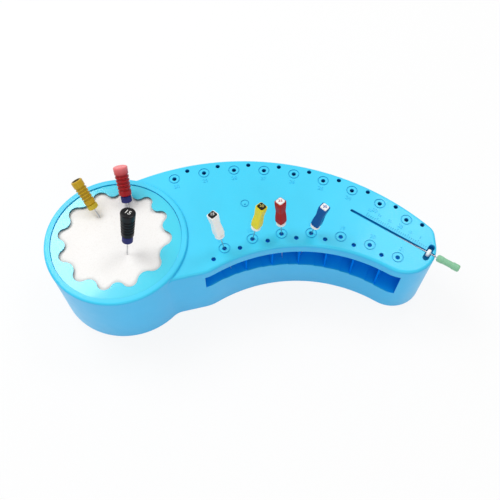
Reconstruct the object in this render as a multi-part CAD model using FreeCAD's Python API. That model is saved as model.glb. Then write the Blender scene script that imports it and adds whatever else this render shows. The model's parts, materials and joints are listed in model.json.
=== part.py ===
import FreeCAD, Part
import math
import os

# Endodontic measuring block: a round pot with a foam cushion, and a curved arm with depth holes.
# Origin on the pot's axis at the base plane, +X along the arm, +Y away from the user, +Z up, in mm.

V = FreeCAD.Vector
UP = V(0, 0, 1)

# block
BLOCK_H = 35.0
FLOOR_T = 3.0
POT_R = 31.0
POT_WALL = 3.8
CUP_R = POT_R - POT_WALL
RIM_OVER = 0.1
RIM_R = POT_R + RIM_OVER
RIM_RISE = 1.3
RIM_TOP = BLOCK_H + RIM_RISE
RING_SEAT_DROP = 0.6
RING_SEAT_Z = BLOCK_H - RING_SEAT_DROP
RING_LEDGE = 1.25
RING_SEAT_R = CUP_R + RING_LEDGE
TOP_ROUND = 1.3
RIM_ROUND = 1.0

# arm outline, seen from above
FAR_R = 113.4
FAR_APEX_X = 55.1
FAR_APEX_Y = 42.6
FAR_C = V(FAR_APEX_X, FAR_APEX_Y - FAR_R, 0)
NEAR_R = 69.1
NEAR_APEX_X = 80.4
NEAR_APEX_Y = -2.73
NEAR_C = V(NEAR_APEX_X, NEAR_APEX_Y - NEAR_R, 0)
END_X = 138.8
END_R = 14.0
END_CX = END_X - END_R
END_CY = NEAR_C.y + math.sqrt((NEAR_R + END_R) ** 2 - (END_CX - NEAR_C.x) ** 2)
END_C = V(END_CX, END_CY, 0)
ROOT_DEG = -38.7
ROOT_X = POT_R * math.cos(math.radians(ROOT_DEG))
ROOT_Y = POT_R * math.sin(math.radians(ROOT_DEG))
HEEL_X = 40.6
HEEL_Y = NEAR_C.y + math.sqrt(NEAR_R ** 2 - (HEEL_X - NEAR_C.x) ** 2)
HEEL_SLOPE = (HEEL_Y - ROOT_Y) / (HEEL_X - ROOT_X)
HEEL_ROUND = 18.0
FAR_CORNER_ROUND = 6.0
NEAR_ROOT_ROUND = 8.0
FAR_ROOT_ROUND = 12.0

# hollow underside
WALL = 2.4
PLATE_T = 3.5
BAND_T = 3.0

# depth holes, placed by their distance along the arm's edges from the middle of each edge
HOLE_R = 1.0
MARK_R = 2.3
MARK_W = 0.5
MARK_DEPTH = 0.3
BAY_COUNT = 7
BAY_STEP = 11.82
NEAR_RINGED_AT = 31.6
NEAR_PLAIN_AT = 37.63
NEAR_RINGED_R = NEAR_R + 6.6
NEAR_PLAIN_R = NEAR_R + 4.2
NEAR_RINGED_DEPTH = 15.0
NEAR_PLAIN_DEPTH = 14.5
FAR_ROW_SHIFT = 1.09
FAR_ROW_C = V(FAR_C.x + FAR_ROW_SHIFT, FAR_C.y, 0)
FAR_COUNT = 9
FAR_STEP = 14.527
FAR_RINGED_AT = -81.15
FAR_PLAIN_AT = -88.07
FAR_RINGED_R = FAR_R - 5.6
FAR_PLAIN_R = FAR_R - 2.9
FAR_RINGED_DEPTH = NEAR_RINGED_DEPTH + BAY_COUNT
FAR_PLAIN_DEPTH = NEAR_PLAIN_DEPTH + BAY_COUNT

# window and its bays under the near row
WINDOW_LEFT_AT = 44.14
WINDOW_RIGHT_AT = -44.56
LIP_T = 2.0
LIP_H = 5.0
BAY_PLATE_T = 2.0
BAY_BEHIND = 5.8
BAY_OUT_R = NEAR_RINGED_R + BAY_BEHIND
BAY_BACK_T = 2.1
RIB_T = 0.7
RIB_AFTER = 1.63
RIB_SETBACK = 1.0
SHELF_T = 2.5

# ruler groove and stop slot
GROOVE_X = 103.2
GROOVE_Y = 15.4
GROOVE_DEG = -33.7
GROOVE_W = 1.3
GROOVE_DEPTH = 1.4
REST_DEPTH = 0.8
SLOT_AT = 38.0
SLOT_W = 2.7
SLOT_LEN = 8.8
SLOT_DEPTH = 2.6
TICK_COUNT = 31
TICK_W = 0.3
TICK_DEPTH = 0.2

# mould mark on the top
GATE_X = 55.6
GATE_Y = 18.9
GATE = V(GATE_X, GATE_Y, 0)
GATE_R = 1.7
GATE_SPOT_R = 0.45

# scalloped ring and cushion
RING_T = 1.3
RING_GAP = 0.05
RING_ROUND = 0.2
LOBE_TIP_R = CUP_R - 2.3
LOBE_ROOT_R = CUP_R - 5.8
OPENING_C = V(-0.8, 0.7, 0)
LOBE_DEG = [1, 30, 56, 83, 111, 147, 176, 203, 235, 265, 292, 325]
FOAM_R = CUP_R - 0.2

# files
FILE_LEN = 25.0
SHANK_R = 0.30
TIP_R = 0.12
TIP_CONE = 0.6
SHANK_LEN = 6.0
STOP_GAP = 0.05
STOP_BORE = SHANK_R + 0.04
STOP_R = 2.1
STOP_T = 1.4
FOAM_STOP_R = 2.35
GROOVE_STOP_R = 1.7
GROOVE_STOP_T = 1.5
TIP_REST = 0.02
GRIP_COUNT = 5
SQ_LEN = 12.4
SQ_SIDE = 3.9
SQ_WAIST = 3.3
SQ_FOOT = 3.2
CAP_SIDE = 3.1
CAP_T = 0.5
GROOVE_FOOT_AT = SLOT_AT + 4.0
GROOVE_HANDLE_LEN = 10.4
GROOVE_HANDLE_R = 1.6


def polar(centre, radius, deg, z=0.0):
    """Point at a radius and bearing from a centre in plan."""
    a = math.radians(deg)
    return V(centre.x + radius * math.cos(a), centre.y + radius * math.sin(a), z)


def disc(centre, radius, z0, z1):
    """Upright cylinder between two heights."""
    return Part.makeCylinder(radius, z1 - z0, V(centre.x, centre.y, z0))


def sector(centre, r0, r1, deg0, deg1, z0, z1):
    """Part of an upright ring between two bearings and two heights."""
    p0 = polar(centre, r0, deg0, z0)
    p1 = polar(centre, r1, deg0, z0)
    p2 = polar(centre, r1, 0.5 * (deg0 + deg1), z0)
    p3 = polar(centre, r1, deg1, z0)
    p4 = polar(centre, r0, deg1, z0)
    p5 = polar(centre, r0, 0.5 * (deg0 + deg1), z0)
    edges = [Part.makeLine(p0, p1), Part.Arc(p1, p2, p3).toShape()]
    edges.append(Part.makeLine(p3, p4))
    edges.append(Part.Arc(p4, p5, p0).toShape())
    face = Part.Face(Part.Wire(edges))
    return face.extrude(V(0, 0, z1 - z0))


def near_deg(at):
    """Bearing of a place along the near edge, given as its distance from the edge's middle."""
    return 90.0 + math.degrees(at / NEAR_R)


def far_deg(at):
    """Bearing of a place along the far edge, given as its distance from the edge's middle."""
    return 90.0 + math.degrees(at / FAR_R)


def circle_cross(c0, r0, c1, r1):
    """Upper crossing of two circles in plan."""
    dx = c1.x - c0.x
    dy = c1.y - c0.y
    d = math.hypot(dx, dy)
    a = (r0 ** 2 - r1 ** 2 + d ** 2) / (2 * d)
    h = math.sqrt(r0 ** 2 - a ** 2)
    return V(c0.x + (a * dx - h * dy) / d, c0.y + (a * dy + h * dx) / d, 0)


def prism(points, z0, z1):
    """Straight-sided block over a plan polygon."""
    ring = [V(p[0], p[1], z0) for p in points]
    ring.append(ring[0])
    return Part.Face(Part.makePolygon(ring)).extrude(V(0, 0, z1 - z0))


def upright_edges(shape, x, y, reach):
    """Vertical edges whose plan position is near a point."""
    found = []
    for edge in shape.Edges:
        if len(edge.Vertexes) != 2:
            continue
        a = edge.Vertexes[0].Point
        b = edge.Vertexes[1].Point
        if abs(a.x - b.x) > 0.01 or abs(a.y - b.y) > 0.01:
            continue
        if math.hypot(a.x - x, a.y - y) < reach:
            found.append(edge)
    return found


def arm_prism(inset, z0, z1):
    """The arm's plan shape, drawn in from the outline by an inset, between two heights."""
    start = circle_cross(V(0, 0, 0), POT_R, FAR_C, FAR_R).x - 0.5
    far = disc(FAR_C, FAR_R - inset, z0, z1)
    near = disc(NEAR_C, NEAR_R + inset, z0 - 1, z1 + 1)
    end_disc = disc(END_C, END_R - inset, z0, z1)
    dx = END_C.x - NEAR_C.x
    dy = END_C.y - NEAR_C.y
    span = math.hypot(dx, dy)
    meet_x = NEAR_C.x + (NEAR_R + inset) * dx / span
    low = NEAR_C.y
    high = 2 * FAR_APEX_Y
    body = far.common(prism([(start, low), (meet_x, low), (meet_x, high), (start, high)], z0, z1)).cut(near)
    right = END_X - inset
    side = [(meet_x, END_C.y), (right, END_C.y), (right, high), (meet_x, high)]
    upper = far.common(prism(side, z0, z1))
    side = [(meet_x, low), (right + 1, low), (right + 1, high), (meet_x, high)]
    lower = end_disc.common(prism(side, z0, z1))
    rise = inset * math.hypot(1.0, HEEL_SLOPE)
    left_x = -HEEL_X
    right_x = HEEL_X + 10.0
    left_y = HEEL_Y + (left_x - HEEL_X) * HEEL_SLOPE + rise
    right_y = HEEL_Y + (right_x - HEEL_X) * HEEL_SLOPE + rise
    heel = [(left_x, 1.3 * low), (right_x, 1.3 * low), (right_x, right_y), (left_x, left_y)]
    body = body.cut(prism(heel, z0 - 1, z1 + 1))
    return body.fuse([upper, lower]).removeSplitter()


def outer_block():
    """Solid outside form of the pot and arm, before anything is hollowed out."""
    arm = arm_prism(0.0, 0.0, BLOCK_H)
    arm = arm.makeFillet(HEEL_ROUND, upright_edges(arm, HEEL_X, HEEL_Y, 0.5))
    corner_y = FAR_C.y + math.sqrt(FAR_R ** 2 - (END_X - FAR_C.x) ** 2)
    arm = arm.makeFillet(FAR_CORNER_ROUND, upright_edges(arm, END_X, corner_y, 0.5))
    block = arm.fuse(disc(V(0, 0, 0), POT_R, 0, BLOCK_H)).removeSplitter()
    block = block.makeFillet(NEAR_ROOT_ROUND, upright_edges(block, ROOT_X, ROOT_Y, 1.5))
    root = circle_cross(V(0, 0, 0), POT_R, FAR_C, FAR_R)
    block = block.makeFillet(FAR_ROOT_ROUND, upright_edges(block, root.x, root.y, 1.5))
    tops = []
    for face in block.Faces:
        if face.normalAt(0, 0).z > 0.99:
            tops = face.OuterWire.Edges
    return block.makeFillet(TOP_ROUND, tops)


def rim_bead():
    """Rounded bead around the pot's mouth."""
    low = RING_SEAT_Z - 1.4
    points = [V(RING_SEAT_R, 0, low), V(RIM_R - 0.25, 0, low), V(RIM_R, 0, low + 0.6)]
    points += [V(RIM_R, 0, RIM_TOP), V(RING_SEAT_R, 0, RIM_TOP)]
    face = Part.Face(Part.makePolygon(points + [points[0]]))
    bead = face.revolve(V(0, 0, 0), UP, 360)
    outer = []
    for edge in bead.Edges:
        box = edge.BoundBox
        if box.ZMin > RIM_TOP - 0.01 and box.XLength > 10 and box.XMax > RIM_R - 0.05:
            outer.append(edge)
    return bead.makeFillet(RIM_ROUND, outer)


def near_hole(i, ringed):
    """Plan point and depth of a hole in the near row, counted from the left."""
    if ringed:
        deg = near_deg(NEAR_RINGED_AT - i * BAY_STEP)
        return polar(NEAR_C, NEAR_RINGED_R, deg), NEAR_RINGED_DEPTH + i
    deg = near_deg(NEAR_PLAIN_AT - i * BAY_STEP)
    return polar(NEAR_C, NEAR_PLAIN_R, deg), NEAR_PLAIN_DEPTH + i


def far_hole(j, ringed):
    """Plan point and depth of a hole in the far row, counted from the right."""
    if ringed:
        deg = far_deg(FAR_RINGED_AT + j * FAR_STEP)
        return polar(FAR_ROW_C, FAR_RINGED_R, deg), FAR_RINGED_DEPTH + j
    deg = far_deg(FAR_PLAIN_AT + j * FAR_STEP)
    return polar(FAR_ROW_C, FAR_PLAIN_R, deg), FAR_PLAIN_DEPTH + j


def shelf_steps():
    """Steps under the near row: left and right place along the edge, depth, and ribs at its ends."""
    steps = []
    left = WINDOW_LEFT_AT
    left_rib = False
    for i in range(BAY_COUNT):
        plain_at = NEAR_PLAIN_AT - i * BAY_STEP
        ringed_at = NEAR_RINGED_AT - i * BAY_STEP
        if i == 0:
            right = 0.5 * (plain_at + ringed_at)
        else:
            right = plain_at - RIB_AFTER
        steps.append((left, right, NEAR_PLAIN_DEPTH + i, left_rib, i > 0))
        left = right
        left_rib = i > 0
        if i < BAY_COUNT - 1:
            right = 0.5 * (ringed_at + NEAR_PLAIN_AT - (i + 1) * BAY_STEP)
        else:
            right = WINDOW_RIGHT_AT
        steps.append((left, right, NEAR_RINGED_DEPTH + i, left_rib, False))
        left = right
        left_rib = False
    return steps


def bay_cutters():
    """Everything removed for the window and the bays under the near row."""
    cutters = []
    mouth_top = BLOCK_H - LIP_H
    bay_top = BLOCK_H - BAY_PLATE_T
    lip_in = NEAR_R + LIP_T
    rib_in = NEAR_R + RIB_SETBACK
    half_rib = 0.5 * RIB_T * NEAR_R / NEAR_PLAIN_R
    for left, right, depth, left_rib, right_rib in shelf_steps():
        floor = BLOCK_H - depth
        d1 = near_deg(left)
        d0 = near_deg(right)
        b1 = near_deg(left - (half_rib if left_rib else 0.0))
        b0 = near_deg(right + (half_rib if right_rib else 0.0))
        cutters.append(sector(NEAR_C, NEAR_R - 6, rib_in, d0, d1, floor, mouth_top))
        cutters.append(sector(NEAR_C, rib_in, lip_in + 0.01, b0, b1, floor, mouth_top))
        cutters.append(sector(NEAR_C, lip_in, BAY_OUT_R, b0, b1, floor, bay_top))
    return cutters


def shelf_cutters():
    """Hollow under each step of the shelf, open at the base."""
    cutters = []
    steps = shelf_steps()
    for k in range(len(steps)):
        left, right, depth, left_rib, right_rib = steps[k]
        d1 = near_deg(left - (2.0 if k == 0 else 0.0))
        d0 = near_deg(right + (5.4 if k == len(steps) - 1 else 0.0))
        top = BLOCK_H - depth - SHELF_T
        cutters.append(sector(NEAR_C, NEAR_R + WALL, BAY_OUT_R, d0, d1, -1.0, top))
    return cutters


def under_hollow():
    """The arm's open-bottomed hollow, between the bays and the band that holds the far row."""
    top = BLOCK_H - PLATE_T
    hollow = arm_prism(WALL + 0.6, -1.0, top)
    hollow = hollow.common(disc(FAR_ROW_C, FAR_RINGED_R - BAND_T, -2, top + 1))
    d0 = near_deg(WINDOW_RIGHT_AT) - 13.0
    d1 = near_deg(WINDOW_LEFT_AT) + 1.4
    hollow = hollow.cut(sector(NEAR_C, NEAR_R - 8, BAY_OUT_R + BAY_BACK_T, d0, d1, -2, top + 1))
    hollow = hollow.cut(disc(V(0, 0, 0), POT_R + 0.6, -2, top + 1))
    return max(hollow.Solids, key=lambda solid: solid.Volume)


def round_mark(point, radius):
    """Shallow engraved circle around a point."""
    ring = disc(point, radius + 0.5 * MARK_W, BLOCK_H - MARK_DEPTH, BLOCK_H + 1)
    return ring.cut(disc(point, radius - 0.5 * MARK_W, BLOCK_H - MARK_DEPTH - 1, BLOCK_H + 2))


def hole_cutters():
    """Depth holes, and the round marks around the whole-millimetre ones."""
    cutters = []
    spots = []
    for i in range(BAY_COUNT):
        spots.append((near_hole(i, False)[0], BAY_PLATE_T + 0.5))
        point = near_hole(i, True)[0]
        spots.append((point, BAY_PLATE_T + 0.5))
        cutters.append(round_mark(point, MARK_R))
    for j in range(FAR_COUNT):
        spots.append(far_hole(j, False))
        point, depth = far_hole(j, True)
        spots.append((point, depth))
        cutters.append(round_mark(point, MARK_R))
    for point, depth in spots:
        cutters.append(disc(point, HOLE_R, BLOCK_H - depth, BLOCK_H + 1))
    cutters.append(round_mark(GATE, GATE_R))
    spot = V(GATE.x + 0.1, GATE.y - 0.6, 0)
    cutters.append(disc(spot, GATE_SPOT_R, BLOCK_H - MARK_DEPTH, BLOCK_H + 1))
    return cutters


def along_groove(t, side=0.0, z=0.0):
    """Point at a distance along the ruler groove and to its far side."""
    a = math.radians(GROOVE_DEG)
    x = GROOVE_X + t * math.cos(a) - side * math.sin(a)
    y = GROOVE_Y + t * math.sin(a) + side * math.cos(a)
    return V(x, y, z)


def strip(t0, t1, side0, side1, z0, z1):
    """Block lined up with the ruler groove."""
    corners = [along_groove(t0, side0), along_groove(t1, side0)]
    corners += [along_groove(t1, side1), along_groove(t0, side1)]
    return prism([(c.x, c.y) for c in corners], z0, z1)


def ruler_cutters():
    """Groove that takes a file's blade, its stop slot and the millimetre ticks."""
    top = BLOCK_H + 1
    half = 0.5 * GROOVE_W
    floor = BLOCK_H - GROOVE_DEPTH
    cutters = [strip(0, SLOT_AT, -half, half, floor, top)]
    cutters.append(disc(along_groove(0), half, floor, top))
    rest_end = SLOT_AT + 2 * (GROOVE_FOOT_AT - SLOT_AT)
    cutters.append(strip(SLOT_AT, rest_end, -half, half, BLOCK_H - REST_DEPTH, top))
    slot_r = 0.5 * SLOT_W
    reach = 0.5 * SLOT_LEN - slot_r
    slot_z = BLOCK_H - SLOT_DEPTH
    t0 = SLOT_AT - slot_r
    cutters.append(strip(t0, SLOT_AT + slot_r, -reach, reach, slot_z, top))
    cutters.append(disc(along_groove(SLOT_AT, reach), slot_r, slot_z, top))
    cutters.append(disc(along_groove(SLOT_AT, -reach), slot_r, slot_z, top))
    for k in range(TICK_COUNT):
        t = t0 - k
        length = 1.2
        if k % 5 == 0:
            length = 2.0
        t0_tick = t - 0.5 * TICK_W
        cutters.append(strip(t0_tick, t0_tick + TICK_W, 1.0, 1.0 + length, BLOCK_H - TICK_DEPTH, top))
    return cutters


def block_body():
    """The whole moulding: pot, arm, rim, window, bays, holes and ruler."""
    body = outer_block()
    body = body.fuse(rim_bead())
    body = body.cut(disc(V(0, 0, 0), CUP_R, FLOOR_T, BLOCK_H + 5))
    body = body.cut(disc(V(0, 0, 0), RING_SEAT_R, RING_SEAT_Z, BLOCK_H + 5))
    body = body.cut(under_hollow())
    body = body.cut(shelf_cutters())
    body = body.cut(bay_cutters())
    body = body.cut(hole_cutters())
    body = body.cut(ruler_cutters())
    return body


def scallop_wire(z):
    """Closed wavy outline of the ring's opening at a height, as rounded lobes and teeth in turn."""
    middle_r = 0.5 * (LOBE_TIP_R + LOBE_ROOT_R)
    edges = []
    count = len(LOBE_DEG)
    for k in range(count):
        tip = LOBE_DEG[k]
        ahead = (LOBE_DEG[(k + 1) % count] - tip) % 360
        behind = (tip - LOBE_DEG[k - 1]) % 360
        lobe_start = polar(OPENING_C, middle_r, tip - 0.25 * behind, z)
        lobe_top = polar(OPENING_C, LOBE_TIP_R, tip, z)
        lobe_end = polar(OPENING_C, middle_r, tip + 0.25 * ahead, z)
        tooth_top = polar(OPENING_C, LOBE_ROOT_R, tip + 0.5 * ahead, z)
        tooth_end = polar(OPENING_C, middle_r, tip + 0.75 * ahead, z)
        edges.append(Part.Arc(lobe_start, lobe_top, lobe_end).toShape())
        edges.append(Part.Arc(lobe_end, tooth_top, tooth_end).toShape())
    return Part.Wire(edges)


def foam_ring():
    """Thin retaining ring with a scalloped opening, lying on the seat inside the rim."""
    ring = disc(V(0, 0, 0), RING_SEAT_R - RING_GAP, RING_SEAT_Z, RING_SEAT_Z + RING_T)
    rim = [e for e in ring.Edges if e.BoundBox.ZMin > RING_SEAT_Z + RING_T - 0.01]
    ring = ring.makeFillet(RING_ROUND, rim)
    opening = Part.Face(scallop_wire(RING_SEAT_Z - 1)).extrude(V(0, 0, RING_T + 2))
    ring = ring.cut(opening)
    return ring


def frame_of(direction, turn):
    """Two unit vectors square to a direction, turned about it."""
    d = V(direction).normalize()
    side = V(0, 1, 0).cross(d)
    if side.Length < 0.1:
        side = V(1, 0, 0).cross(d)
    side.normalize()
    other = d.cross(side)
    a = math.radians(turn)
    u = side * math.cos(a) + other * math.sin(a)
    w = d.cross(u)
    return u, w


def lathe(base, direction, profile):
    """Solid of revolution about a leaning axis. The profile lists (distance along, radius)."""
    points = [V(r, 0, s) for s, r in profile]
    points = [V(0, 0, profile[0][0])] + points + [V(0, 0, profile[-1][0]), V(0, 0, profile[0][0])]
    clean = [points[0]]
    for p in points[1:]:
        if (p - clean[-1]).Length > 1e-6:
            clean.append(p)
    solid = Part.Face(Part.makePolygon(clean)).revolve(V(0, 0, 0), UP, 360)
    turn = FreeCAD.Rotation(UP, V(direction))
    solid.Placement = FreeCAD.Placement(base, turn)
    return solid


def blade(root, direction, length):
    """File blade from its root at the handle down to its tip, against the direction."""
    profile = [(-length, 0.0), (-length + TIP_CONE, TIP_R), (-SHANK_LEN, SHANK_R), (1.5, SHANK_R)]
    return lathe(root, direction, profile)


def stopper(root, direction, radius, thick, gap):
    """Silicone stop on the shank just under the handle."""
    low = -gap - thick
    profile = [(low, radius - 0.35), (low + 0.35, radius), (-gap - 0.35, radius), (-gap, radius - 0.35)]
    body = lathe(root, direction, profile)
    bore = lathe(root, direction, [(low - 1, STOP_BORE), (1.0, STOP_BORE)])
    return body.cut(bore)


def shank_socket(root, direction):
    """Hole in a handle's foot that its blade is moulded into."""
    return lathe(root, direction, [(-1.0, SHANK_R), (1.5, SHANK_R)])


def square_ring(base, direction, turn, s, side):
    """Square section with broken corners at a distance along a leaning axis."""
    u, w = frame_of(direction, turn)
    h = 0.5 * side
    c = 0.12 * side
    flat = [(h, -h + c), (h, h - c), (h - c, h), (-h + c, h)]
    flat += [(-h, h - c), (-h, -h + c), (-h + c, -h), (h - c, -h)]
    d = V(direction).normalize()
    points = [base + d * s + u * a + w * b for a, b in flat]
    return Part.makePolygon(points + [points[0]])


def square_handle(root, direction, turn):
    """Four-sided handle with a waist, a tapered foot and a flat top."""
    mid_side = 0.5 * (SQ_SIDE + SQ_WAIST)
    stations = [(0.0, SQ_FOOT), (0.8, SQ_SIDE), (3.0, SQ_SIDE), (5.0, mid_side), (6.8, SQ_WAIST)]
    stations += [(8.8, mid_side), (10.8, SQ_SIDE), (SQ_LEN, SQ_SIDE)]
    wires = [square_ring(root, direction, turn, s, side) for s, side in stations]
    handle = Part.makeLoft(wires, True, True)
    return handle.cut(shank_socket(root, direction))


def square_cap(root, direction, turn):
    """Size cap on a square handle's top."""
    wires = [square_ring(root, direction, turn, SQ_LEN, CAP_SIDE)]
    wires.append(square_ring(root, direction, turn, SQ_LEN + CAP_T, CAP_SIDE - 0.2))
    return Part.makeLoft(wires, True, True)


def round_handle(root, direction, foot_r, top_r, length, dish):
    """Round ribbed handle that widens to its top, with a chamfered foot and a dished or flat top."""
    def at(s, sunk=0.0):
        return (s, foot_r + (top_r - foot_r) * s / length - sunk)

    profile = [at(0.0, 0.5), at(0.5)]
    pitch = (length - 5.0) / GRIP_COUNT
    for k in range(GRIP_COUNT):
        s = 2.4 + k * pitch
        profile += [at(s), at(s + 0.25, 0.35), at(s + 0.75, 0.35), at(s + 1.0)]
    profile += [at(length - 0.5), at(length - 0.13, 0.15), at(length, 0.5)]
    handle = lathe(root, direction, profile)
    if dish > 0:
        sink = lathe(root, direction, [(length - 1.2, dish - 0.3), (length + 1.0, dish + 0.2)])
        handle = handle.cut(sink)
    return handle.cut(shank_socket(root, direction))


def slim_handle(root, direction):
    """Plain slim handle of the file in the ruler groove."""
    r = GROOVE_HANDLE_R
    n = GROOVE_HANDLE_LEN
    profile = [(0.0, r - 0.55), (0.5, r - 0.05), (1.2, r), (2.6, r), (3.0, r - 0.18), (n - 3.4, r - 0.18)]
    profile += [(n - 3.0, r), (n - 0.7, r), (n - 0.2, r - 0.25), (n, r - 0.7)]
    handle = lathe(root, direction, profile)
    return handle.cut(shank_socket(root, direction))


def hole_file_root(i, lean):
    """Root point of a file standing in a ringed near hole, its tip on the bay's floor."""
    point, depth = near_hole(i, True)
    d = V(lean[0], lean[1], 1.0).normalize()
    middle = V(point.x, point.y, BLOCK_H - 0.5 * BAY_PLATE_T)
    tip_z = BLOCK_H - depth + TIP_REST
    tip = middle + d * ((tip_z - middle.z) / d.z)
    return tip + d * FILE_LEN, d


# name, near ringed hole, lean in X and Y per unit of height, turn about the handle
HOLE_FILES = [
    ("white", 0, (-0.19, 0.18), 45),
    ("yellow", 1, (0.17, 0.18), 45),
    ("red", 2, (-0.06, 0.20), 45),
    ("blue", 3, (0.21, 0.09), 50),
]

# name, point where the blade enters the foam, lean, exposed blade, foot and top radius, length, dish radius,
# thickness of the stop
FOAM_FILES = [
    ("mustard", (-8.91, 12.36), (-0.587, 0.669), 6.7, 2.35, 2.6, 12.2, 1.9, 2.2),
    ("crimson", (3.5, 17.02), (-0.15, 0.785), 5.8, 2.75, 3.2, 13.2, 0.0, 3.1),
    ("black", (5.15, -6.15), (0.15, 0.29), 11.2, 2.7, 3.25, 13.0, 0.0, 3.6),
]


def foam_file_root(entry, lean, exposed):
    """Root point of a file stuck in the cushion."""
    d = V(lean[0], lean[1], 1.0).normalize()
    return V(entry[0], entry[1], RING_SEAT_Z) + d * exposed, d


def groove_file_root():
    """Root point of the file in the ruler groove, its shank on the rest and its tip on the groove's floor."""
    root_t = GROOVE_FOOT_AT
    tip_t = root_t - FILE_LEN
    rest_t = SLOT_AT + 0.5 * SLOT_W
    low_z = BLOCK_H - GROOVE_DEPTH + TIP_R + TIP_REST
    rest_z = BLOCK_H - REST_DEPTH + SHANK_R + 2 * TIP_REST
    slope = (rest_z - low_z) / (rest_t - tip_t)
    a = math.radians(GROOVE_DEG)
    d = V(math.cos(a), math.sin(a), slope).normalize()
    tip = along_groove(tip_t, 0.0, low_z)
    return tip + d * FILE_LEN, d, root_t


def foam_insert():
    """Foam cushion on the pot's floor, pierced by the files that stand in it."""
    foam = disc(V(0, 0, 0), FOAM_R, FLOOR_T, RING_SEAT_Z)
    for entry, lean, exposed in [f[1:4] for f in FOAM_FILES]:
        root, d = foam_file_root(entry, lean, exposed)
        low = -FILE_LEN - 0.03
        profile = [(low, 0.0), (low + TIP_CONE, TIP_R + 0.02)]
        profile += [(-SHANK_LEN, SHANK_R + 0.02), (1.0, SHANK_R + 0.02)]
        foam = foam.cut(lathe(root, d, profile))
    return foam


def build():
    """Write every piece."""
    os.makedirs("parts", exist_ok=True)
    pieces = {"block_body": block_body(), "foam_insert": foam_insert(), "foam_ring": foam_ring()}
    for name, i, lean, turn in HOLE_FILES:
        root, d = hole_file_root(i, lean)
        pieces["handle_" + name] = square_handle(root, d, turn)
        pieces["cap_" + name] = square_cap(root, d, turn)
        pieces["blade_" + name] = blade(root, d, FILE_LEN)
        pieces["stop_" + name] = stopper(root, d, STOP_R, STOP_T, STOP_GAP)
    for name, entry, lean, exposed, foot_r, top_r, length, dish, stop_t in FOAM_FILES:
        root, d = foam_file_root(entry, lean, exposed)
        pieces["handle_" + name] = round_handle(root, d, foot_r, top_r, length, dish)
        pieces["blade_" + name] = blade(root, d, FILE_LEN)
        pieces["stop_" + name] = stopper(root, d, FOAM_STOP_R, stop_t, STOP_GAP)
    root, d, root_t = groove_file_root()
    pieces["handle_green"] = slim_handle(root, d)
    pieces["blade_green"] = blade(root, d, FILE_LEN)
    stop_gap = root_t - SLOT_AT - 0.5 * GROOVE_STOP_T
    pieces["stop_green"] = stopper(root, d, GROOVE_STOP_R, GROOVE_STOP_T, stop_gap)
    for name, shape in pieces.items():
        print(name, shape.isValid(), len(shape.Solids), round(shape.Volume, 2))
        shape.exportStep("parts/" + name + ".step")


build()
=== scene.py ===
import json
import math

import bmesh
import bpy
from mathutils import Matrix, Vector, noise


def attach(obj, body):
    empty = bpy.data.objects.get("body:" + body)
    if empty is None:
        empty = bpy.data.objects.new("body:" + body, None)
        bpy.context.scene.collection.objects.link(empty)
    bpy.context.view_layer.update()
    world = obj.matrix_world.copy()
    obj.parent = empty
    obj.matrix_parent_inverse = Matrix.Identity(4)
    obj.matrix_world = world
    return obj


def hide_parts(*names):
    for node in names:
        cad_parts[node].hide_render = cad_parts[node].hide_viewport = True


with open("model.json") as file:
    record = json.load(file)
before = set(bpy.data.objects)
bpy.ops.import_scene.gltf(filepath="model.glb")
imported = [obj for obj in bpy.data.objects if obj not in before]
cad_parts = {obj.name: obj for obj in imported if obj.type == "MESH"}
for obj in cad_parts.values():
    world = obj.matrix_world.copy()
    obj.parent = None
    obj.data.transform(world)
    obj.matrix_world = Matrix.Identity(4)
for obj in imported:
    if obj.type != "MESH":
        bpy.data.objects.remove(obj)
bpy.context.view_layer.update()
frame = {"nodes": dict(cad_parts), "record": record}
NODES = frame["nodes"]
SLOT_OF = {part["node"]: part["material_slot"] for part in frame["record"]["subparts"]}

# block, in millimetres from the middle of the pot's base
MM = 0.001
TOP = 35.0
NEAR_C = (80.4, -71.83)
NEAR_EDGE_R = 69.1
NEAR_HOLES_R = 75.7
FAR_C = (56.19, -70.8)
FAR_EDGE_R = 113.4
FAR_HOLES_R = 107.8
NEAR_COUNT = 7
NEAR_FIRST_AT = 31.6
NEAR_STEP = 11.82
FAR_COUNT = 9
FAR_FIRST_AT = -81.15
FAR_STEP = 14.527
NEAR_FIRST_DEPTH = 15
FAR_FIRST_DEPTH = 22

# window and bays
WINDOW_MIDDLE = 0.5 * math.pi - 0.003
WINDOW_HALF_ANGLE = 0.645
DIVIDED_HALF_ANGLE = 0.56
BAY_FADE = (0.1, 0.7)
BAY_BACK_R = 82.3
BAY_LOW_Z = 12.5
BAY_ROOF_Z = 33.4
DIVIDER_SETBACK = 1.3

# ring and foam
RING_WALL_R = 26.7
LOBE_DEG = [1, 30, 56, 83, 111, 147, 176, 203, 235, 265, 292, 325]
OPENING_C = (-0.8, 0.7)
OPENING_R = 23.15
OPENING_WAVE = 1.75
FOAM_TOP = 34.4
FOAM_LOW_Z = 3.0
FOAM_R = 26.95

# groove for the lying file
GROOVE_DEG = -33.7
GROOVE_START = (103.2, 15.4)
GROOVE_LEN = 38.0
GROOVE_DEEP = 1.4
GROOVE_SHALLOW = 0.8
GROOVE_FOOT_AT = 17.0
SLOT_HALF = 1.35

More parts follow.
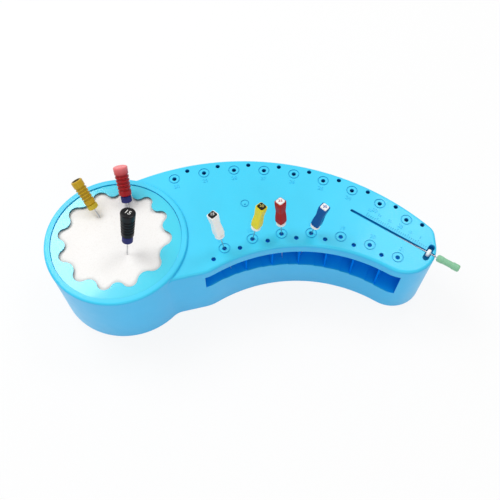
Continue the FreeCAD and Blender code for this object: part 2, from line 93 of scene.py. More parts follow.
# files: handle and blade, where each goes in and how it leans
FILE_LEN = 25.0
SHANK_R = 0.30
SHANK_LEN = 6.0
TIP_R = 0.12
SQUARE_HANDLE_LEN = 12.4
CAP_HEIGHT = 0.5
ROUND_HANDLE_LEN = 13.0
HOLE_FILES = [
    ("white", 0, (-0.19, 0.18, 1.0)),
    ("yellow", 1, (0.17, 0.18, 1.0)),
    ("red", 2, (-0.06, 0.20, 1.0)),
    ("blue", 3, (0.21, 0.09, 1.0)),
]
FOAM_FILES = [
    ("mustard", (-8.91, 12.36), (-0.587, 0.669, 1.0), 6.7),
    ("crimson", (3.5, 17.02), (-0.15, 0.785, 1.0), 5.8),
    ("black", (5.15, -6.15), (0.15, 0.29, 1.0), 11.2),
]


# node helpers
def nodes_of(name):
    """A new material with its node tree and its Principled shader."""
    mat = bpy.data.materials.new(name)
    mat.use_nodes = True
    tree = mat.node_tree
    return mat, tree, tree.nodes["Principled BSDF"]


def object_coords(tree):
    return tree.nodes.new("ShaderNodeTexCoord").outputs["Object"]


def texture(tree, kind, scale, coords, **sockets):
    """A texture node fed with object coordinates."""
    tex = tree.nodes.new(kind)
    tex.inputs["Scale"].default_value = scale
    for key, value in sockets.items():
        tex.inputs[key].default_value = value
    tree.links.new(coords, tex.inputs["Vector"])
    return tex


def math_node(tree, operation, *values):
    """Maths on up to three values, each a number or a node's output."""
    node = tree.nodes.new("ShaderNodeMath")
    node.operation = operation
    for socket, value in zip(node.inputs, values):
        if isinstance(value, (int, float)):
            socket.default_value = value
        else:
            tree.links.new(value, socket)
    return node.outputs[0]


def vector_node(tree, operation, output, *values):
    """Vector maths on up to two values, each a vector or a node's output."""
    node = tree.nodes.new("ShaderNodeVectorMath")
    node.operation = operation
    for socket, value in zip(node.inputs, values):
        if isinstance(value, (tuple, Vector)):
            socket.default_value = value
        else:
            tree.links.new(value, socket)
    return node.outputs[output]


def map_range(tree, value, from_min=0.0, from_max=1.0, to_min=0.0, to_max=1.0):
    """Stretch a value from one range to another, held at both ends."""
    node = tree.nodes.new("ShaderNodeMapRange")
    node.inputs["From Min"].default_value = from_min
    node.inputs["From Max"].default_value = from_max
    node.inputs["To Min"].default_value = to_min
    node.inputs["To Max"].default_value = to_max
    tree.links.new(value, node.inputs["Value"])
    return node.outputs["Result"]


def ramp_between(tree, fac, low, high, a=0.0, b=1.0):
    """Colour ramp from low to high over a stretch of a grey value."""
    ramp = tree.nodes.new("ShaderNodeValToRGB")
    ramp.color_ramp.elements[0].position = a
    ramp.color_ramp.elements[0].color = (*low, 1)
    ramp.color_ramp.elements[1].position = b
    ramp.color_ramp.elements[1].color = (*high, 1)
    tree.links.new(fac, ramp.inputs["Fac"])
    return ramp.outputs["Color"]


def mix_colour(tree, factor, low, high, blend="MIX"):
    """Mix two colours by a factor; each is a number, a colour or a node's output."""
    mix = tree.nodes.new("ShaderNodeMix")
    mix.data_type = "RGBA"
    mix.blend_type = blend
    for key, value in (("Factor", factor), ("A", low), ("B", high)):
        if isinstance(value, tuple):
            mix.inputs[key].default_value = (*value, 1)
        elif isinstance(value, float):
            mix.inputs[key].default_value = value
        else:
            tree.links.new(value, mix.inputs[key])
    return mix.outputs["Result"]


def bump(tree, shader, height, strength, distance, before=None):
    """Bump node on the shader's normal, chained after another one if given."""
    node = tree.nodes.new("ShaderNodeBump")
    node.inputs["Strength"].default_value = strength
    node.inputs["Distance"].default_value = distance
    tree.links.new(height, node.inputs["Height"])
    if before is not None:
        tree.links.new(before.outputs["Normal"], node.inputs["Normal"])
    tree.links.new(node.outputs["Normal"], shader.inputs["Normal"])
    return node


def shade(colour, factor):
    return tuple(min(1.0, c * factor) for c in colour)


def openness(tree, reach, shut, wide):
    """0 far inside a recess of the piece's own form, 1 on its open faces."""
    node = tree.nodes.new("ShaderNodeAmbientOcclusion")
    node.only_local = True
    node.samples = 12
    node.inputs["Distance"].default_value = reach
    return map_range(tree, node.outputs["AO"], shut, wide)


def facing_up(tree):
    """Upward part of the surface's direction: 1 on level tops, 0 on upright walls."""
    facing = tree.nodes.new("ShaderNodeTexCoord").outputs["Normal"]
    return vector_node(tree, "DOT_PRODUCT", "Value", facing, (0, 0, 1))


def base_colour_of(material):
    """Node tree of a material, its base colour's socket and what feeds it."""
    tree = material.node_tree
    socket = tree.nodes["Principled BSDF"].inputs["Base Color"]
    return tree, socket, socket.links[0].from_socket


# plain materials
def moulded(name, colour, rough=0.35, coat=0.0, peel=0.25, vary=0.05, soft=0.0, specular=0.5,
            rough_vary=0.06, recess_shade=None, reach=0.001, shut=0.35, wide=0.95):
    """Moulded plastic: flow marks in the colour, uneven gloss, a fine orange peel, and painted shade in
    recesses when a shade colour is given.
    """
    mat, tree, shader = nodes_of(name)
    coords = object_coords(tree)
    flow = texture(tree, "ShaderNodeTexNoise", 38.0, coords, Detail=3.0, Roughness=0.55)
    low = shade(colour, 1 - vary)
    high = shade(colour, 1 + vary)
    base = ramp_between(tree, flow.outputs["Fac"], low, high, 0.3, 0.7)
    # painted shade: the recess colour is blended in where the piece's own form closes round a point
    if recess_shade is not None:
        base = mix_colour(tree, openness(tree, reach, shut, wide), recess_shade, base)
    tree.links.new(base, shader.inputs["Base Color"])
    smear = texture(tree, "ShaderNodeTexNoise", 220.0, coords, Detail=4.0)
    uneven = map_range(tree, smear.outputs["Fac"], to_min=rough - rough_vary, to_max=rough + rough_vary)
    tree.links.new(uneven, shader.inputs["Roughness"])
    skin = texture(tree, "ShaderNodeTexNoise", 900.0, coords, Detail=2.0)
    bump(tree, shader, skin.outputs["Fac"], peel, 0.00002)
    shader.inputs["Specular IOR Level"].default_value = specular
    shader.inputs["Coat Weight"].default_value = coat
    shader.inputs["Coat Roughness"].default_value = 0.08
    if soft:
        shader.inputs["Subsurface Weight"].default_value = soft
        shader.inputs["Subsurface Radius"].default_value = (0.4, 0.7, 1.0)
        shader.inputs["Subsurface Scale"].default_value = 0.002
    return mat


def steel(name):
    """Ground steel with fine marks round the blade."""
    mat, tree, shader = nodes_of(name)
    marks = texture(tree, "ShaderNodeTexNoise", 2600.0, object_coords(tree), Detail=3.0, Roughness=0.7)
    ground = ramp_between(tree, marks.outputs["Fac"], (0.42, 0.43, 0.45), (0.76, 0.77, 0.79), 0.3, 0.7)
    tree.links.new(ground, shader.inputs["Base Color"])
    shader.inputs["Metallic"].default_value = 1.0
    shader.inputs["Roughness"].default_value = 0.28
    bump(tree, shader, marks.outputs["Fac"], 0.3, 0.00001)
    return mat


def silicone(name, colour):
    """Soft silicone: dull, slightly see-through, with a powdery bloom."""
    mat, tree, shader = nodes_of(name)
    bloom = texture(tree, "ShaderNodeTexNoise", 700.0, object_coords(tree), Detail=5.0)
    powder = ramp_between(tree, bloom.outputs["Fac"], shade(colour, 0.9), shade(colour, 1.08), 0.35, 0.7)
    tree.links.new(powder, shader.inputs["Base Color"])
    shader.inputs["Roughness"].default_value = 0.55
    shader.inputs["Subsurface Weight"].default_value = 0.25
    shader.inputs["Subsurface Radius"].default_value = (1.0, 1.0, 1.0)
    shader.inputs["Subsurface Scale"].default_value = 0.0006
    bump(tree, shader, bloom.outputs["Fac"], 0.2, 0.00002)
    return mat


def foam(name):
    """Fine open-cell foam: small pores, soft and matt."""
    mat, tree, shader = nodes_of(name)
    coords = object_coords(tree)
    cells = texture(tree, "ShaderNodeTexVoronoi", 1700.0, coords)
    cells.feature = "F1"
    patches = texture(tree, "ShaderNodeTexNoise", 60.0, coords, Detail=3.0)
    wall = (0.94, 0.93, 0.915)
    pit = (0.90, 0.885, 0.865)
    pores = ramp_between(tree, cells.outputs["Distance"], wall, pit, 0.45, 0.95)
    clouds = ramp_between(tree, patches.outputs["Fac"], (0.97, 0.96, 0.95), (1.0, 1.0, 1.0), 0.35, 0.65)
    tree.links.new(mix_colour(tree, 0.5, pores, clouds, "MULTIPLY"), shader.inputs["Base Color"])
    shader.inputs["Roughness"].default_value = 0.95
    shader.inputs["Specular IOR Level"].default_value = 0.15
    shader.inputs["Sheen Weight"].default_value = 0.15
    first = bump(tree, shader, cells.outputs["Distance"], 0.22, 0.00010)
    bump(tree, shader, patches.outputs["Fac"], 0.15, 0.0004, first)
    return mat


# plastic of the block and the ring
def bay_masks(tree, upward):
    """Masks for painted shade: 1 inside the bays behind the window, and 1 on the front edges of their
    dividers.
    """
    centre = (NEAR_C[0] * MM, NEAR_C[1] * MM, 0)
    offset = vector_node(tree, "SUBTRACT", "Vector", object_coords(tree), centre)
    split = tree.nodes.new("ShaderNodeSeparateXYZ")
    tree.links.new(offset, split.inputs[0])
    x, y, z = split.outputs
    squares = math_node(tree, "ADD", math_node(tree, "MULTIPLY", x, x), math_node(tree, "MULTIPLY", y, y))
    radius = math_node(tree, "SQRT", squares)
    bearing = math_node(tree, "ARCTAN2", y, x)
    aside = math_node(tree, "ABSOLUTE", math_node(tree, "SUBTRACT", bearing, WINDOW_MIDDLE))
    inside = map_range(tree, radius, (NEAR_EDGE_R + BAY_FADE[0]) * MM, (NEAR_EDGE_R + BAY_FADE[1]) * MM)
    limits = [
        ("LESS_THAN", aside, WINDOW_HALF_ANGLE),
        ("LESS_THAN", radius, BAY_BACK_R * MM),
        ("LESS_THAN", z, BAY_ROOF_Z * MM),
        ("GREATER_THAN", z, BAY_LOW_Z * MM),
    ]
    for limit in limits:
        inside = math_node(tree, "MULTIPLY", inside, math_node(tree, *limit))
    sheltered = math_node(tree, "SUBTRACT", 1.0, openness(tree, 0.012, 0.86, 0.97))
    divided = math_node(tree, "LESS_THAN", aside, DIVIDED_HALF_ANGLE)
    inside = math_node(tree, "MULTIPLY", inside, math_node(tree, "MAXIMUM", sheltered, divided))
    front = math_node(tree, "LESS_THAN", radius, (NEAR_EDGE_R + DIVIDER_SETBACK) * MM)
    front = math_node(tree, "MULTIPLY", front, math_node(tree, "SUBTRACT", 1.0, upward))
    return inside, math_node(tree, "MULTIPLY", front, inside)


def block_plastic(name, colour, side, hole, bay, divider):
    """Plastic of the block, with painted shade: bluer and darker on upright walls, dark in the narrow
    holes, a strong dark blue in the bays and a darker blue on the dividers' fronts.
    """
    # painted shade: the block's holes and other recesses are blended towards the hole colour
    mat = moulded(name, colour, rough=0.36, coat=0.12, peel=0.2, vary=0.03,
                  recess_shade=hole, reach=0.005, shut=0.15, wide=0.58)
    tree, socket, base = base_colour_of(mat)
    shader = socket.node
    # painted shade: upright walls are multiplied by a bluer, darker tint
    upward = map_range(tree, facing_up(tree), 0.25, 0.85)
    wall_shade = mix_colour(tree, upward, side, (1.0, 1.0, 1.0))
    base = mix_colour(tree, 1.0, base, wall_shade, "MULTIPLY")
    # painted shade: the bays behind the window get the bay colour, the dividers' front edges a darker blue
    inside, front = bay_masks(tree, upward)
    inner = mix_colour(tree, front, bay, divider)
    tree.links.new(mix_colour(tree, inside, base, inner), socket)
    # Specular is lower on upright walls. Specular and coat are turned down in recesses and on the dividers'
    # fronts: painted shade in the reflections.
    gloss = math_node(tree, "MULTIPLY_ADD", upward, 0.2, 0.28)
    off_divider_fronts = math_node(tree, "SUBTRACT", 1.0, front)
    unshaded_reflection = math_node(tree, "MULTIPLY", openness(tree, 0.005, 0.3, 0.9), off_divider_fronts)
    tree.links.new(math_node(tree, "MULTIPLY", gloss, unshaded_reflection), shader.inputs["Specular IOR Level"])
    tree.links.new(math_node(tree, "MULTIPLY", unshaded_reflection, 0.12), shader.inputs["Coat Weight"])
    return mat


def ring_plastic(name, colour, wall):
    """Polished ring, with painted shade on its thin wavy inner wall so that it reads as a dark line."""
    mat = moulded(name, colour, rough=0.2, coat=1.0, peel=0.08, vary=0.02, rough_vary=0.03)
    tree, socket, base = base_colour_of(mat)
    flat = vector_node(tree, "MULTIPLY", "Vector", object_coords(tree), (1, 1, 0))
    inner = math_node(tree, "LESS_THAN", vector_node(tree, "LENGTH", "Value", flat), RING_WALL_R * MM)
    upright = math_node(tree, "LESS_THAN", facing_up(tree), 0.5)
    both = math_node(tree, "MULTIPLY", inner, upright)
    # painted shade: upright faces inside the ring's wall radius take the dark wall colour
    tree.links.new(mix_colour(tree, both, base, wall), socket)
    return mat


def tint_top(material, root, lean, start, end, colour, within=None):
    """Blend another colour into a handle from one distance along its axis to another."""
    tree, socket, base = base_colour_of(material)
    axis = Vector(lean).normalized()
    offset = vector_node(tree, "SUBTRACT", "Vector", object_coords(tree), root * MM)
    along = vector_node(tree, "DOT_PRODUCT", "Value", offset, axis)
    factor = map_range(tree, along, start * MM, end * MM)
    if within is not None:
        across = vector_node(tree, "CROSS_PRODUCT", "Vector", offset, axis)
        distance = vector_node(tree, "LENGTH", "Value", across)
        near = math_node(tree, "LESS_THAN", distance, within * MM)
        factor = math_node(tree, "MULTIPLY", near, factor)
    tree.links.new(mix_colour(tree, factor, base, colour), socket)


CYAN = (0.038, 0.64, 0.93)
# painted shade colours: a bluer, darker tint for upright walls, dark blue for the holes, a strong blue for
# the bays, a darker blue for the dividers' fronts
WALL_SHADE_TINT = (0.85, 0.82, 1.0)
HOLE_SHADE_BLUE = (0.0, 0.18, 0.45)
BAY_SHADE_BLUE = (0.0, 0.40, 1.0)
DIVIDER_SHADE_BLUE = (0.0, 0.21, 0.88)
MAT = {
    "body": block_plastic("cyan_plastic", CYAN, WALL_SHADE_TINT, HOLE_SHADE_BLUE, BAY_SHADE_BLUE, DIVIDER_SHADE_BLUE),
    # the ring's second colour is painted shade for its inner wall
    "ring": ring_plastic("cyan_gloss", (0.034, 0.67, 0.88), (0.0, 0.12, 0.17)),
    "foam": foam("white_foam"),
    "steel": steel("blade_steel"),
    "stop_white": silicone("white_silicone", (0.92, 0.92, 0.92)),
    "stop_blue": silicone("blue_silicone", (0.003, 0.006, 0.14)),
    "stop_yellow": silicone("yellow_silicone", (0.62, 0.46, 0.012)),
    "cap_dark": moulded("black_cap", (0.005, 0.005, 0.005), rough=0.5, specular=0.2),
    "cap_light": moulded("white_cap", (0.90, 0.90, 0.90), rough=0.4, specular=0.3),
    "handle_white": moulded("white_handle", (0.94, 0.94, 0.91), rough=0.3, vary=0.02, soft=0.1),
    "handle_yellow": moulded("yellow_handle", (0.86, 0.72, 0.020), rough=0.3, soft=0.1, specular=0.35),
    "handle_red": moulded("red_handle", (0.40, 0.010, 0.006), rough=0.30, vary=0.08, specular=0.15),
    "handle_blue": moulded("blue_handle", (0.0, 0.085, 0.32), rough=0.30, vary=0.08, specular=0.12),
    # mustard and crimson: painted shade in the handles' grooves and recesses
    "handle_mustard": moulded("mustard_handle", (0.58, 0.36, 0.010), rough=0.30, vary=0.06,
                              specular=0.3, recess_shade=(0.20, 0.11, 0.004), reach=0.0012),
    "handle_crimson": moulded("crimson_handle", (0.42, 0.010, 0.014), rough=0.25, vary=0.08, soft=0.1,
                              specular=0.3, recess_shade=(0.13, 0.003, 0.006), reach=0.0012),
    "handle_black": moulded("black_handle", (0.003, 0.003, 0.004), rough=0.30, vary=0.1, specular=0.25),
    "handle_green": moulded("green_handle", (0.27, 0.58, 0.36), rough=0.35, vary=0.06, soft=0.2,
                            specular=0.35),
}
for node, obj in NODES.items():
    for slot in obj.material_slots:
        slot.material = MAT[SLOT_OF[node]]


# places on the block
def polar(centre, radius, deg):
    a = math.radians(deg)
    return centre[0] + radius * math.cos(a), centre[1] + radius * math.sin(a)


def near_ringed(i, outward=0.0):
    """Plan place and bearing of a ringed hole in the near row."""
    deg = 90.0 + math.degrees((NEAR_FIRST_AT - NEAR_STEP * i) / NEAR_EDGE_R)
    return *polar(NEAR_C, NEAR_HOLES_R + outward, deg), deg


def far_ringed(j, outward=0.0):
    """Plan place and bearing of a ringed hole in the far row."""
    deg = 90.0 + math.degrees((FAR_FIRST_AT + FAR_STEP * j) / FAR_EDGE_R)
    return *polar(FAR_C, FAR_HOLES_R + outward, deg), deg


def along_groove(t, side=0.0):
    """Plan place at a distance along the ruler groove and beside it."""
    a = math.radians(GROOVE_DEG)
    x = GROOVE_START[0] + t * math.cos(a) - side * math.sin(a)
    y = GROOVE_START[1] + t * math.sin(a) + side * math.cos(a)
    return x, y


def lean_frame(lean):
    """Unit vector of a leaning direction, and the rotation that turns +Z to it."""
    d = Vector(lean).normalized()
    return d, Vector((0, 0, 1)).rotation_difference(d).to_matrix().to_4x4()


def mesh_object(name, verts, faces, material):
    """Smooth mesh object from points and faces."""
    data = bpy.data.meshes.new(name)
    data.from_pydata([tuple(v) for v in verts], [], faces)
    data.validate()
    data.update()
    obj = bpy.data.objects.new(name, data)
    bpy.context.scene.collection.objects.link(obj)
    data.materials.append(material)
    for poly in data.polygons:
        poly.use_smooth = True
    return obj


# blades
BLADE_SIDES = 16
BLADE_UP = 1.4
FLUTES_FROM = 9.0
FLUTE_STEP = 0.18
PLAIN_STEP = 0.6
FLUTE_TWIST = 2.6
FLUTE_DEPTH = 0.34
FLUTE_RUN_IN = 0.8
POINT_LEN = 0.6
POINT_R_SHARE = 0.12
LAST_RING = 0.1
POINT_SHORT = 0.02
TOP_RISE = 0.05
BLADE_SLIM = 1 - 0.02


def blade_radius(s):
    """Radius at a place along the blade, which runs from 0 at the handle down to -FILE_LEN."""
    if s > -SHANK_LEN:
        radius = SHANK_R
    else:
        share = (-SHANK_LEN - s) / (FILE_LEN - SHANK_LEN)
        radius = SHANK_R + (TIP_R - SHANK_R) * share
    if s < -FILE_LEN + POINT_LEN:
        radius *= max(POINT_R_SHARE, (s + FILE_LEN) / POINT_LEN)
    return radius


def blade_ring(s):
    """One ring of points: round at the shank, four-lobed and twisted where the flutes run."""
    twist = 0.0
    cut = 0.0
    if s < -FLUTES_FROM:
        twist = (-FLUTES_FROM - s) * FLUTE_TWIST
        cut = min(1.0, (-FLUTES_FROM - s) / FLUTE_RUN_IN)
    ring = []
    for k in range(BLADE_SIDES):
        a = 2 * math.pi * k / BLADE_SIDES
        lobe = 0.5 + 0.5 * math.cos(4 * a)
        r = blade_radius(s) * BLADE_SLIM * (1 - cut * FLUTE_DEPTH * (1 - lobe))
        ring.append(Vector((r * math.cos(a + twist), r * math.sin(a + twist), s)))
    return ring


def fluted_blade(name, root, lean):
    """Twisted square blade: a round shank, then cutting edges that wind down to the tip."""
    s = BLADE_UP
    steps = [s]
    while s > -FILE_LEN + LAST_RING:
        s -= FLUTE_STEP if s < -FLUTES_FROM else PLAIN_STEP
        steps.append(max(s, -FILE_LEN + LAST_RING))
    verts = [v for s in steps for v in blade_ring(s)]
    verts += [Vector((0, 0, -FILE_LEN + POINT_SHORT)), Vector((0, 0, BLADE_UP + TOP_RISE))]
    tip = len(verts) - 2
    top = len(verts) - 1
    last = (len(steps) - 1) * BLADE_SIDES
    faces = []
    for upper in range(0, last, BLADE_SIDES):
        lower = upper + BLADE_SIDES
        for k in range(BLADE_SIDES):
            n = (k + 1) % BLADE_SIDES
            faces.append((upper + k, lower + k, lower + n, upper + n))
    for k in range(BLADE_SIDES):
        n = (k + 1) % BLADE_SIDES
        faces.append((last + k, tip, last + n))
        faces.append((k, n, top))
    place = Matrix.Translation(Vector(root)) @ lean_frame(lean)[1]
    obj = mesh_object("fluted_" + name, [(place @ v) * MM for v in verts], faces, MAT["steel"])
    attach(obj, "root")
    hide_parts("blade_" + name)
    return obj


# each file's blade, the foot of its handle, painted light on the crimson handle's end and painted shade in
# the mustard handle's dish
HOLE_MIDDLE_DEPTH = 1.0
TIP_GAP = 0.02
SHANK_GAP = 0.04
PAINTED_LIGHT_END = (9.3, 12.8)
DISH_SHADE_SPAN = (10.7, 10.9)
DISH_R = 1.95
ROOTS = {}
for name, i, lean in HOLE_FILES:
    x, y, deg = near_ringed(i)
    d = Vector(lean).normalized()
    middle = Vector((x, y, TOP - HOLE_MIDDLE_DEPTH))
    tip = middle + d * ((TOP - NEAR_FIRST_DEPTH - i + TIP_GAP - middle.z) / d.z)
    ROOTS[name] = (tip + d * FILE_LEN, lean)
    fluted_blade(name, *ROOTS[name])
for name, entry, lean, exposed in FOAM_FILES:
    d = Vector(lean).normalized()
    ROOTS[name] = (Vector((*entry, FOAM_TOP)) + d * exposed, lean)
    fluted_blade(name, *ROOTS[name])
# painted light: the crimson handle's end is tinted pale pink
tint_top(MAT["handle_crimson"], *ROOTS["crimson"], *PAINTED_LIGHT_END, (0.84, 0.19, 0.20))
# painted shade: the mustard handle's dish is tinted dark olive-brown
tint_top(MAT["handle_mustard"], *ROOTS["mustard"], *DISH_SHADE_SPAN, (0.16, 0.12, 0.04), within=DISH_R)

low_z = TOP - GROOVE_DEEP + TIP_R + TIP_GAP
rest_z = TOP - GROOVE_SHALLOW + SHANK_R + SHANK_GAP
groove_dir = (
    math.cos(math.radians(GROOVE_DEG)),
    math.sin(math.radians(GROOVE_DEG)),
    (rest_z - low_z) / (GROOVE_LEN + SLOT_HALF - GROOVE_FOOT_AT),
)
green_root = Vector((*along_groove(GROOVE_FOOT_AT), low_z)) + Vector(groove_dir).normalized() * FILE_LEN
fluted_blade("green", green_root, groove_dir)


# foam cushion
FOAM_RINGS = 110
FOAM_AROUND = 264
FOAM_LEVELS = 14
FOAM_SWELL = 0.56
FOAM_GRAIN = 0.06
FOAM_LIP = 0.05
FOAM_SIDE_GAP = 0.05
FOAM_SIDE_WAVE = 0.05
EDGE_SLOPE_FROM = 0.25
EDGE_SLOPE = 2.2
PRESSED_R = 4.6
DIP_DEPTH = 0.7
DIP_R = 0.9


def inside_opening(x, y):
    """Distance in from the wavy edge of the ring's opening, negative under the ring."""
    dx = x - OPENING_C[0]
    dy = y - OPENING_C[1]
    deg = math.degrees(math.atan2(dy, dx)) % 360
    for k, tip in enumerate(LOBE_DEG):
        ahead = (LOBE_DEG[(k + 1) % len(LOBE_DEG)] - tip) % 360
        turn = (deg - tip) % 360
        if turn < ahead:
            return OPENING_R + OPENING_WAVE * math.cos(2 * math.pi * turn / ahead) - math.hypot(dx, dy)
    return 0.0


def foam_height(x, y):
    """Top of the cushion: swollen in the ring's opening, pressed in and dipped at each blade."""
    share = min(1.0, max(0.0, (inside_opening(x, y) - EDGE_SLOPE_FROM) / EDGE_SLOPE))
    swell = FOAM_SWELL * math.sin(0.5 * math.pi * share)
    grain = FOAM_GRAIN * noise.noise(Vector((x, y, 0)) * 0.35) * share
    pressed = 1.0
    dip = 0.0
    for name, entry, lean, exposed in FOAM_FILES:
        gap = math.hypot(x - entry[0], y - entry[1])
        pressed *= 1.0 - math.exp(-(gap / PRESSED_R) ** 2)
        dip += DIP_DEPTH * math.exp(-(gap / DIP_R) ** 2)
    return FOAM_TOP - FOAM_LIP + (swell + grain) * pressed - dip


def top_ring(r):
    """One ring of points on the cushion's swollen top."""
    points = []
    for k in range(FOAM_AROUND):
        a = 2 * math.pi * k / FOAM_AROUND
        x, y = r * math.cos(a), r * math.sin(a)
        points.append(Vector((x, y, foam_height(x, y))))
    return points


def side_ring(z):
    """One ring of points on the cushion's slightly uneven side."""
    points = []
    for k in range(FOAM_AROUND):
        a = 2 * math.pi * k / FOAM_AROUND
        uneven = noise.noise(Vector((math.cos(a) * 6, math.sin(a) * 6, z * 0.4)))
        r = FOAM_R - FOAM_SIDE_GAP - FOAM_SIDE_WAVE * uneven
        points.append(Vector((r * math.cos(a), r * math.sin(a), z)))
    return points


def foam_cushion():
    """Soft cushion in the pot, with its top, its slightly uneven side and its flat underside."""
    verts = [Vector((0, 0, foam_height(0, 0)))]
    for i in range(1, FOAM_RINGS + 1):
        verts += top_ring(FOAM_R * i / FOAM_RINGS)
    edge_z = FOAM_TOP - FOAM_LIP
    for j in range(1, FOAM_LEVELS + 1):
        verts += side_ring(edge_z + (FOAM_LOW_Z - edge_z) * j / FOAM_LEVELS)
    verts.append(Vector((0, 0, FOAM_LOW_Z)))
    faces = [(0, 1 + k, 1 + (k + 1) % FOAM_AROUND) for k in range(FOAM_AROUND)]
    last = 1 + (FOAM_RINGS + FOAM_LEVELS - 1) * FOAM_AROUND
    for upper in range(1, last, FOAM_AROUND):
        lower = upper + FOAM_AROUND
        for k in range(FOAM_AROUND):
            n = (k + 1) % FOAM_AROUND
            faces.append((upper + k, lower + k, lower + n, upper + n))
    for k in range(FOAM_AROUND):
        faces.append((last + k, len(verts) - 1, last + (k + 1) % FOAM_AROUND))
    obj = mesh_object("foam_cushion", [v * MM for v in verts], faces, MAT["foam"])
    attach(obj, "root")
    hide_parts("foam_insert")
    return obj


foam_cushion()


# raised and printed figures
DEPTH_SIZE = 2.6
DEPTH_RISE = 0.22
DEPTH_Z = TOP + 0.05
DEPTH_ASIDE = 4.4
RULE_SIZE = 1.8
RULE_RISE = 0.16
RULE_Z = TOP + 0.04
RULE_ASIDE = 4.6
RULE_LEN = 30
RULE_STEP = 5
CAP_SIZE = 1.9
TOP_SIZE = 3.0
TOP_TURN = -25
INK_RISE = 0.08
INK_LIFT = 0.02


def figure(text, size, place, name, height):
    """Raised figures as one mesh, centred on a place matrix, in millimetres."""
    curve = bpy.data.curves.new(name, "FONT")
    curve.body = text
    curve.size = size
    curve.extrude = 0.5 * height
    curve.bevel_depth = 0.02
    curve.bevel_resolution = 1
    curve.resolution_u = 4
    curve.align_x = "CENTER"
    curve.align_y = "CENTER"
    temp = bpy.data.objects.new(name + "_curve", curve)
    bpy.context.scene.collection.objects.link(temp)
    bpy.context.view_layer.update()
    mesh = bpy.data.meshes.new_from_object(temp.evaluated_get(bpy.context.evaluated_depsgraph_get()))
    bpy.data.objects.remove(temp)
    bpy.data.curves.remove(curve)
    mesh.transform(Matrix.Scale(MM, 4) @ place)
    return mesh


def join_figures(name, meshes, material):
    """One object from several figures, riding on the block's body."""
    bm = bmesh.new()
    for mesh in meshes:
        bm.from_mesh(mesh)
        bpy.data.meshes.remove(mesh)
    data = bpy.data.meshes.new(name)
    bm.to_mesh(data)
    bm.free()
    data.materials.clear()
    data.materials.append(material)
    obj = bpy.data.objects.new(name, data)
    bpy.context.scene.collection.objects.link(obj)
    for poly in data.polygons:
        poly.material_index = 0
    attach(obj, "root")
    return obj


def flat_place(x, y, z, deg):
    return Matrix.Translation((x, y, z)) @ Matrix.Rotation(math.radians(deg), 4, "Z")


def handle_top(name, height, turn=0.0):
    """Place matrix on the end of a handle, turned about its axis."""
    root, lean = ROOTS[name]
    d, rot = lean_frame(lean)
    place = Matrix.Translation(root + d * (height + INK_LIFT))
    return place @ rot @ Matrix.Rotation(math.radians(turn), 4, "Z")


labels = []
for i in range(NEAR_COUNT):
    x, y, deg = near_ringed(i, DEPTH_ASIDE)
    place = flat_place(x, y, DEPTH_Z, deg - 90)
    labels.append(figure(str(NEAR_FIRST_DEPTH + i), DEPTH_SIZE, place, "near%d" % i, DEPTH_RISE))
for j in range(FAR_COUNT):
    x, y, deg = far_ringed(j, -DEPTH_ASIDE)
    place = flat_place(x, y, DEPTH_Z, deg - 90)
    labels.append(figure(str(FAR_FIRST_DEPTH + j), DEPTH_SIZE, place, "far%d" % j, DEPTH_RISE))
for k in range(0, RULE_LEN + 1, RULE_STEP):
    x, y = along_groove(GROOVE_LEN - SLOT_HALF - k, RULE_ASIDE)
    place = flat_place(x, y, RULE_Z, GROOVE_DEG)
    labels.append(figure(str(k), RULE_SIZE, place, "rule%d" % k, RULE_RISE))
join_figures("depth_figures", labels, MAT["body"])

CAP_TEXT = {
    "white": ("15", moulded("white_ink", (0.75, 0.75, 0.72), rough=0.5)),
    "yellow": ("20", moulded("gold_ink", (0.62, 0.50, 0.10), rough=0.5)),
    "red": ("25", moulded("red_ink", (0.50, 0.03, 0.03), rough=0.5)),
    "blue": ("30", moulded("blue_ink", (0.02, 0.06, 0.35), rough=0.5)),
}
for name, (text, ink) in CAP_TEXT.items():
    place = handle_top(name, SQUARE_HANDLE_LEN + CAP_HEIGHT)
    mesh = figure(text, CAP_SIZE, place, "cap_text_" + name, INK_RISE)
    join_figures("cap_figure_" + name, [mesh], ink)
place = handle_top("black", ROUND_HANDLE_LEN, TOP_TURN)
mesh = figure("15", TOP_SIZE, place, "top_text_black", INK_RISE)
join_figures("top_figure_black", [mesh], CAP_TEXT["white"][1])


# stage
FLOOR_HALF = 2.5
FLOOR_GLOW_SHARE = 0.86


def white_stage():
    """Pale floor that renders near white to the camera and keeps a soft shadow."""
    data = bpy.data.meshes.new("floor")
    s = FLOOR_HALF
    data.from_pydata([(-s, -s, 0), (s, -s, 0), (s, s, 0), (-s, s, 0)], [], [(0, 1, 2, 3)])
    obj = bpy.data.objects.new("floor", data)
    bpy.context.scene.collection.objects.link(obj)
    mat, tree, shader = nodes_of("floor_paper")
    grain = texture(tree, "ShaderNodeTexNoise", 400.0, object_coords(tree), Detail=2.0)
    paper = ramp_between(tree, grain.outputs["Fac"], (0.90, 0.90, 0.90), (0.92, 0.92, 0.92))
    tree.links.new(paper, shader.inputs["Base Color"])
    shader.inputs["Roughness"].default_value = 0.9
    shader.inputs["Specular IOR Level"].default_value = 0.1
    glow = tree.nodes.new("ShaderNodeEmission")
    glow.inputs["Strength"].default_value = 1.0
    path = tree.nodes.new("ShaderNodeLightPath").outputs
    seen = math_node(tree, "MAXIMUM", path["Is Camera Ray"], path["Is Glossy Ray"])
    mix = tree.nodes.new("ShaderNodeMixShader")
    tree.links.new(math_node(tree, "MULTIPLY", seen, FLOOR_GLOW_SHARE), mix.inputs["Fac"])
    tree.links.new(shader.outputs[0], mix.inputs[1])
    tree.links.new(glow.outputs[0], mix.inputs[2])
    tree.links.new(mix.outputs[0], tree.nodes["Material Output"].inputs["Surface"])
    data.materials.append(mat)
    return obj


white_stage()


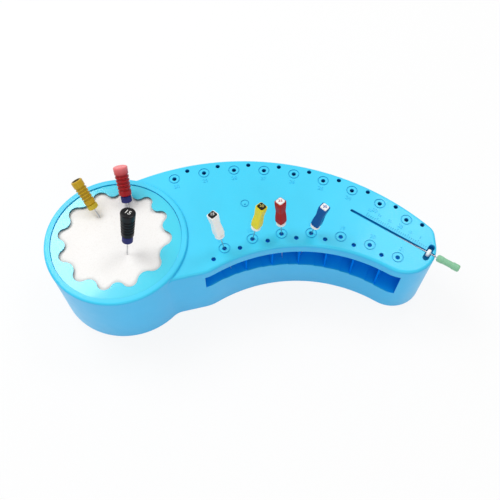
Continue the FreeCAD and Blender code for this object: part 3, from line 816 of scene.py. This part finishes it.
# light, in metres and watts
SKY_LIGHT = 0.62
SKY_SEEN = 1.0
LAMPS = {
    "key": {"place": (-0.40, 0.34, 0.70), "aim": (0.0, 0.0, 0.03), "size": (0.45, 0.40), "power": 3.2},
    "far": {"place": (0.34, 0.36, 0.70), "aim": (0.12, 0.0, 0.035), "size": (0.20, 0.20), "power": 0.8},
    "front": {"place": (0.20, -0.75, 0.60), "aim": (0.06, 0.0, 0.02), "size": (0.5, 0.4), "power": 0.9},
}


def white_sky():
    """White surroundings, plain white where the camera sees them past the floor."""
    world = bpy.data.worlds.new("studio")
    bpy.context.scene.world = world
    world.use_nodes = True
    tree = world.node_tree
    sky = tree.nodes["Background"]
    sky.inputs["Color"].default_value = (1.0, 1.0, 1.0, 1)
    seen = tree.nodes.new("ShaderNodeLightPath").outputs["Is Camera Ray"]
    tree.links.new(map_range(tree, seen, to_min=SKY_LIGHT, to_max=SKY_SEEN), sky.inputs["Strength"])


def soft_lamp(name, place, aim, size, power):
    lamp = bpy.data.lights.new(name, "AREA")
    lamp.shape = "RECTANGLE"
    lamp.size, lamp.size_y = size
    lamp.energy = power
    obj = bpy.data.objects.new(name, lamp)
    obj.location = place
    obj.rotation_euler = (Vector(aim) - Vector(place)).to_track_quat("-Z", "Y").to_euler()
    bpy.context.scene.collection.objects.link(obj)
    return obj


white_sky()
for name, lamp in LAMPS.items():
    soft_lamp(name, **lamp)

# camera at the photograph's viewing angle, in millimetres and degrees
CAMERA_AIM = (57.97, -4.68, TOP)
CAMERA_DISTANCE = 283.65
CAMERA_ELEVATION = 62.05
CAMERA_ROLL = 0.14
CAMERA_LENS = 47.45
CAMERA_SENSOR = 36.0

camera_data = bpy.data.cameras.new("camera")
camera_data.sensor_width = CAMERA_SENSOR
camera_data.lens = CAMERA_LENS
camera_data.clip_start = 0.01
camera_data.clip_end = 20.0
camera = bpy.data.objects.new("camera", camera_data)
elevation = math.radians(CAMERA_ELEVATION)
back = Vector((0, -math.cos(elevation), math.sin(elevation)))
camera.location = (Vector(CAMERA_AIM) + back * CAMERA_DISTANCE) * MM
camera.rotation_mode = "QUATERNION"
roll = Matrix.Rotation(math.radians(CAMERA_ROLL), 3, "Z").to_quaternion()
camera.rotation_quaternion = (-back).to_track_quat("-Z", "Y") @ roll
bpy.context.scene.collection.objects.link(camera)
bpy.context.scene.camera = camera

scene = bpy.context.scene
scene.view_settings.view_transform = "Standard"
